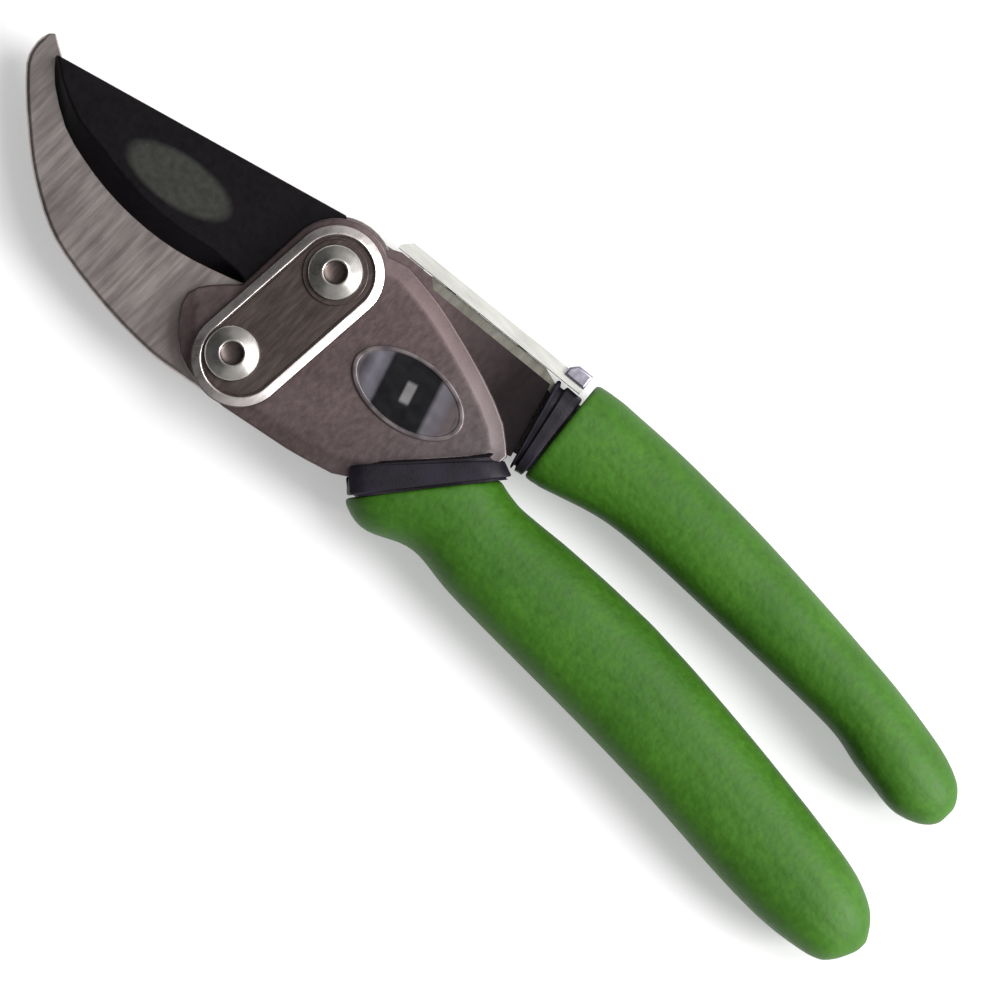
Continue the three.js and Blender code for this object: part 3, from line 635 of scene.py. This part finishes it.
def take_in(bm, other):
    """Adds another bmesh's shape to this one."""
    mesh = bpy.data.meshes.new("taken_in")
    other.to_mesh(mesh)
    other.free()
    bm.from_mesh(mesh)
    bpy.data.meshes.remove(mesh)


def make_front_frame(material, wing_painted_shade):
    """The pressed frame: a plate whose border is dished down, the lower wing beside it, its
    turned-down flange and its tang."""
    node = "front_frame"
    low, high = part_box(node)
    underside = high.z - PLATE_T
    upper, lower = mouth_corners("lower_collar", 1)
    collar_low, collar_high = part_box("lower_collar")
    in_collar = Vector((upper, collar_high.y, 0))
    along_mouth = (in_collar - Vector((lower, collar_low.y, 0))).normalized()
    outwards = along_mouth.cross(UP)
    bm = cad_shape(node)
    loop = outline(bm, high.z)
    tang = cad_shape(node)
    cut(bm, (0, 0, underside - 0.01 * MM), UP)
    cut(tang, (0, 0, underside - 0.01 * MM), -UP)
    cut(tang, in_collar - outwards * 0.5 * MM, -outwards)
    take_in(bm, tang)
    plan = bmesh.new()
    verts = [plan.verts.new((p.x, p.y, underside)) for p in loop]
    bmesh.ops.contextual_create(plan, geom=verts)
    cut(plan, in_collar, outwards, close=False)
    wall = high.z - underside - (PLATE_DISH + PLATE_SHOULDER) * MM
    top = upright(plan, list(plan.verts), wall)
    terrace(plan, top, rounded(PLATE_SHOULDER))
    terrace(plan, top, [(0.4, 0.02), (1.7, PLATE_DISH - 0.10), (0.4, 0.06), (0.5, 0.02)])
    take_in(bm, plan)
    wing = cad_shape(node)
    cut(wing, (0, 0, underside - 0.01 * MM), -UP)
    cut(wing, (0, 0, underside + WING_T - 0.01 * MM), UP)
    cut(wing, in_collar, outwards)
    take_in(bm, wing)
    piece = finish_piece(node + "_plate", bm, [node], "pressed_frame", material, wing_painted_shade)
    # The wing's up-facing flats take the second material: the lacquer darkened towards the collar as
    # painted shade.
    for polygon in piece.data.polygons:
        flat = polygon.normal.z > 0.9 and abs(polygon.center.z - underside - WING_T) < 0.05 * MM
        polygon.material_index = int(flat)
    return piece


def make_strap(material, rim_painted_highlight):
    """The link plate: a flat field inside a raised border, which takes a near-white copy of the steel as
    a painted highlight.
    """
    low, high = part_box("front_strap")
    bolt_low, bolt_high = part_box("pivot_bolt")
    pivot = (bolt_low + bolt_high) / 2
    radius = high.y - pivot.y
    top = Vector((high.x - radius, pivot.y, low.z))
    foot = Vector((low.x + radius, low.y + radius, low.z))
    down = (foot - top).normalized()
    bm = bmesh.new()
    place = Matrix.Translation(top) @ Matrix.Rotation(math.atan2(down.y, down.x), 4, "Z")
    place = place @ Matrix.Rotation(math.pi / 64, 4, "Z")
    verts = bmesh.ops.create_circle(bm, segments=64, radius=radius, matrix=place)["verts"]
    for vert in verts:
        if (vert.co - top).dot(down) > 0:
            vert.co += foot - top
    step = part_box("front_washer")[0].z
    # The border rises like a bead; inside it a groove is cut round the flat field.
    bead = [(0.06, 0.12), (0.10, 0.08), (1.10, 0.60), (0.16, 0.07), (0.16, 0.03)]
    groove = 0.25
    drop = (high.z - step) / MM
    face = upright(bm, verts, high.z - low.z - sum(rise for _, rise in bead) * MM)
    terrace(bm, face, bead)
    wall = drop - 0.05 + groove
    terrace(bm, face, [(0.10, -0.05), (0.12, -wall), (0.22, 0), (0.10, groove), (0.25, 0)])
    piece = finish_piece(
        "front_strap_plate", bm, ["front_strap"], "strap_steel", material, rim_painted_highlight)
    # The border's faces, above the washer's seat, take the painted-highlight copy of the steel.
    for polygon in piece.data.polygons:
        polygon.material_index = int(polygon.center.z > step + 0.02 * MM)
    return piece


def make_head(name, node, seat, shank, material, dish_painted_shade):
    """A domed head with a dished middle, on its shank; the dish takes the dark, rougher strap steel as
    painted shade in the recess.
    """
    low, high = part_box(node)
    centre = (low + high) / 2
    radius = high.x - centre.x
    height = high.z - seat
    dish = DISH_SHARE * radius
    profile = [(0, low.z), (shank - 0.3 * MM, low.z), (shank, low.z + 0.3 * MM), (shank, seat)]
    flank = [
        (1.00, 0.07), (1.00, 0.28), (0.985, 0.38), (0.955, 0.45), (0.91, 0.51), (0.56, 0.93),
        (0.53, 0.97), (0.50, 1.00), (0.46, 1.00),
    ]
    profile += [(radius - 0.15 * MM, seat)] + [(radius * r, seat + height * z) for r, z in flank]
    for k in range(DISH_STEPS + 1):
        a = math.pi / 2 * k / DISH_STEPS
        profile.append((dish * math.cos(a), high.z - (0.10 + DISH_DEPTH * math.sin(a)) * MM))
    profile[-1] = (0, profile[-1][1])
    piece = finish_piece(
        name, spun(profile, centre), [node], "bright_steel", material, dish_painted_shade)
    # The dish's faces take the dark steel: painted shade in the recess.
    for polygon in piece.data.polygons:
        inside = (polygon.center - centre).xy.length < 0.97 * dish
        polygon.material_index = int(inside and polygon.center.z > seat)
    return piece


def make_badge(material):
    """The oval badge: a raised rim round a sunk field."""
    low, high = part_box("badge_plate")
    centre = (low + high) / 2
    bm = bmesh.new()
    place = Matrix.Translation((centre.x, centre.y, low.z)) @ Matrix.Rotation(BADGE_TILT, 4, "Z")
    place = place @ Matrix.Diagonal((BADGE_HALF[0], BADGE_HALF[1], 1, 1))
    verts = bmesh.ops.create_circle(bm, segments=96, radius=1, matrix=place)["verts"]
    face = upright(bm, verts, high.z - low.z - 0.25 * MM)
    terrace(bm, face, rounded(0.25) + [(0.45, 0)] + hollowed(0.2) + [(0.4, 0)])
    return finish_piece("badge_plate_oval", bm, ["badge_plate"], "badge", material)


def make_blade(material):
    """The cutting blade: coated all over, its upper edges softened by the coat."""
    node = "cutting_blade"
    low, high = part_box(node)
    strap_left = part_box("front_strap")[0].x
    bm = cad_shape(node)
    ease(bm, 0.35, 3, lambda e: on_top(e, high.z) and all(v.co.x < strap_left for v in e.verts))
    piece = finish_piece(node + "_coated", bm, [node], "black_coating", material)
    even_shading(piece)
    return piece


def make_counter_blade(material):
    """The counter blade: its long back edge chamfered, its shearing edge left crisp."""
    node = "counter_blade"
    low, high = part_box(node)
    bm = cad_shape(node)

    def on_back(edge):
        """Outside a line that runs from the tip down the middle of the hook, ahead of the pivot."""
        x, y = edge.verts[0].co.xy
        behind_tip = min(1, (x - low.x) / (40 * MM)) ** 0.7
        middle = (0.20 + 0.42 * behind_tip) * low.y
        return on_top(edge, high.z) and y < middle and x < 2 * MM

    ease(bm, 0.9, 4, on_back, clamp=False)
    ease(bm, 0.15, 2, lambda e: on_top(e, high.z))
    piece = finish_piece("counter_blade_ground", bm, [node], "ground_steel", material)
    even_shading(piece)
    return piece


def make_spring(material):
    """The return spring: round wire wound up between its seats."""
    low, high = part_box("return_spring")
    middle = (low + high) / 2
    radius = (high.x - low.x) / 2 - WIRE_R
    bm = bmesh.new()
    start = Vector((middle.x + radius, low.y + WIRE_R, middle.z))
    bmesh.ops.create_circle(
        bm, cap_ends=True, segments=10, radius=WIRE_R, matrix=Matrix.Translation(start))
    geom = list(bm.verts) + list(bm.edges) + list(bm.faces)
    steps = COIL_TURNS * COIL_STEPS
    rise = (high.y - low.y - 2 * WIRE_R) / steps
    bmesh.ops.spin(
        bm, geom=geom, cent=middle, axis=(0, 1, 0), dvec=(0, rise, 0),
        angle=2 * math.pi * COIL_TURNS, steps=steps, use_merge=False, use_duplicate=False)
    return finish_piece("return_spring_coil", bm, ["return_spring"], "spring_steel", material)


# ---------- the tool ----------

def build():
    aim = set_camera()
    set_studio(aim)
    vinyl = soft_vinyl()
    plastic = moulded_plastic()
    # Lacquered pressed steel: a satin mauve with a slow mottle, greyer towards the collar.
    pressed = steel(
        "mauve_lacquered_steel", "#584a4b", "#6b5c5d", 0.40, (1, 0.5, 1), 0.2, 0.9, 0.005, 0.75, 9,
        ("#f0ffff", 18, 42))
    # The same lacquer on the wing, with painted shade: it darkens to a dark brown towards the collar,
    # where the cheek's step shades it.
    wing = steel(
        "mauve_lacquered_steel_painted_shade", "#5a4c4d", "#6c5d5e", 0.48, (1, 0.5, 1), 0.2, 0.9, 0.005,
        0.75, 9, ("#5a5558", 14, 34))
    # Brushed steel: a dark satin field with fine marks along the strap.
    strap = steel("brushed_strap_steel", "#4b4240", "#605653", 0.42, (1, 0.15, 1), 1.5, 0.8, 0.012)
    # Near-white steel on the strap's border, a painted highlight: a lit copy of the strap's dark steel,
    # so that the border reads bright all round; it shines most where it faces the light.
    lit_border_steel = steel(
        "steel_border_painted_highlight", "#e6dcda", "#fdf6f3", 0.30, (1, 0.3, 1), 1.5, 1.2, 0.004)
    # Steel ground across the blade: grey, with streaks square to its length.
    ground = steel("cross_ground_steel", "#8e8583", "#aea5a2", 0.36, (1, 0.08, 1), 0.0, 1.1, 0.012)
    # Tumbled bright steel: even and shiny, for the hidden fasteners.
    bright = steel("tumbled_bright_steel", "#8a8782", "#b5b2ac", 0.30, (1, 1, 1), 0.0, 1.4, 0.005)
    # Phosphated pressed steel: a dull grey-green satin on the rear frame.
    rear = steel(
        "phosphated_steel", "#6f6d64", "#8d8b81", 0.45, (1, 0.25, 1), 0.2, 0.9, 0.012, 0.75, 9)
    # Zinc plate: the pale bar, nearly white and soft, with drawing marks along it.
    zinc = steel("bright_zinc_plate", "#b9b9b3", "#d2d2cc", 0.40, (0.12, 1, 1), 0.1, 0.8, 0.008, 0.2)
    # Near-black steel, dark and even, on the spring seats: painted shade, so that they read as the shade
    # deep inside the frame.
    black = steel("dark_steel_painted_shade", "#1c1a1a", "#2b2828", 0.50, (1, 1, 1), 0.0, 0.8, 0.006)
    # Brushed steel on the thumb tab; its pale violet-grey is a painted highlight, the tone of the black
    # collar's lit side.
    tab = steel("tab_steel_painted_highlight", "#9a95a4", "#bdb9c6", 0.36, (1, 0.4, 1), 0.1, 0.7, 0.01)
    # Drawn spring wire: smooth and bright, with a cold tint.
    wire = steel("drawn_spring_wire", "#8f8f94", "#b0b0b6", 0.28, (1, 1, 1), 0.0, 0.8, 0.004)
    # Turned bronze: a warm brown glint round the pivot.
    bronze = steel("turned_bronze", "#8f6a35", "#b98f52", 0.34, (1, 1, 1), 0.0, 0.8, 0.004)

    make_grip("lower_grip_sleeve", "lower_grip", 15 * MM, vinyl)
    make_grip("upper_grip_sleeve", "upper_grip", 5 * MM, vinyl)
    make_collar("lower_collar_ring", "lower_collar", plastic)
    make_collar("upper_collar_ring", "upper_collar", plastic)
    make_front_frame(pressed, wing)
    make_strap(strap, lit_border_steel)
    washer_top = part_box("front_washer")[1].z
    strap_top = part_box("front_washer")[0].z
    for name, node, seat, shank in (
        ("pivot_bolt_domed", "pivot_bolt", washer_top, 3.6 * MM),
        ("blade_rivet_domed", "blade_rivet", strap_top, 2.6 * MM),
    ):
        face = turned_steel(node + "_turned", node, "#b0aca8", "#cfcbc6", 0.27)
        # The dish gets the dark strap steel as painted shade.
        make_head(name, node, seat, shank, face, strap)
    make_badge(badge_enamel())
    make_blade(black_coating())
    make_counter_blade(ground)
    make_spring(wire)
    for name, node, width, slot, material in (
        ("front_washer_ring", "front_washer", 0.12, "strap_steel", strap),
        ("rear_washer_ring", "rear_washer", 0.15, "bright_steel", bright),
        ("pivot_nut_hex", "pivot_nut", 0.45, "bright_steel", bright),
        ("rear_frame_pressed", "rear_frame", 0.30, "pressed_frame", rear),
        ("latch_bar_plated", "latch_bar", 0.20, "zinc", zinc),
        ("latch_thumb_tab_block", "latch_thumb_tab", 0.15, "tab_steel", tab),
        ("latch_stud_front_pin", "latch_stud_front", 0.12, "bright_steel", bright),
        ("latch_stud_rear_pin", "latch_stud_rear", 0.12, "bright_steel", bright),
        ("hook_rivet_upper_pin", "hook_rivet_upper", 0.15, "bright_steel", bright),
        ("hook_rivet_lower_pin", "hook_rivet_lower", 0.15, "bright_steel", bright),
        # The spring seats take the near-black steel as painted shade.
        ("lower_spring_seat_cup", "lower_spring_seat", 0.15, "bright_steel", black),
        ("upper_spring_seat_cup", "upper_spring_seat", 0.15, "bright_steel", black),
        ("pivot_bush_turned", "pivot_bush", 0.12, "bronze", bronze),
    ):
        eased(name, node, width, slot, material)


build()
